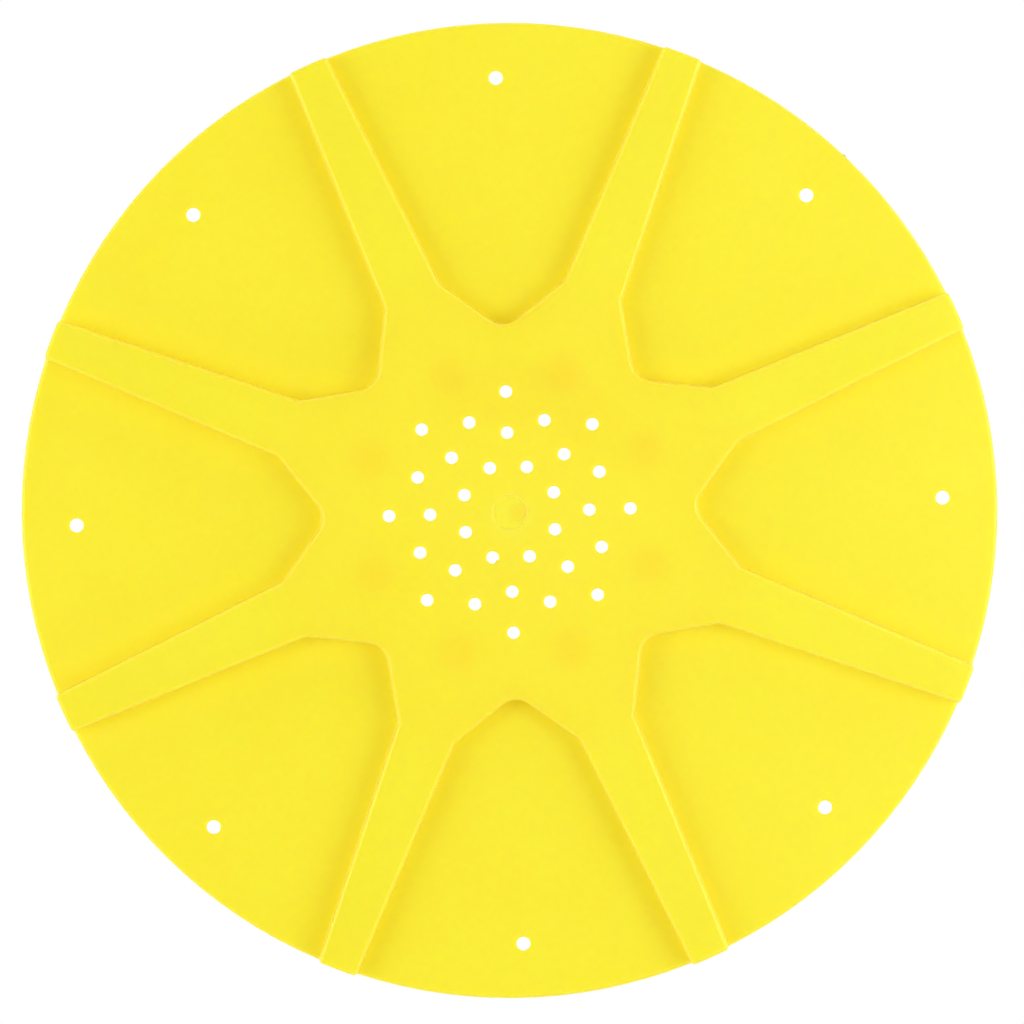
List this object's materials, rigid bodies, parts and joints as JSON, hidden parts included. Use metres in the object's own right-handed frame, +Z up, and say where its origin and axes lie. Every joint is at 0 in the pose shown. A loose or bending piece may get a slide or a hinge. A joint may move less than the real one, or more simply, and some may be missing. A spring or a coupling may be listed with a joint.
{
  "type": "bee escape",
  "caption": "Round moulded bee escape disc with a vented, hollow star of funnels and channels that open at the rim, for fixing under a clearer board.",
  "frame": {"origin": "centre of the disc on the plane of its underside, on which it rests", "axes": "+Z up, out of the star's roof; +X along the middle of the first channel"},
  "size_m": [0.32, 0.32, 0.0096],
  "materials": {
    "yellow_plastic": "semi-gloss moulded polypropylene, slightly translucent yellow"
  },
  "bodies": {
    "root": {"escape_disc": "yellow_plastic"}
  },
  "joints": []
}
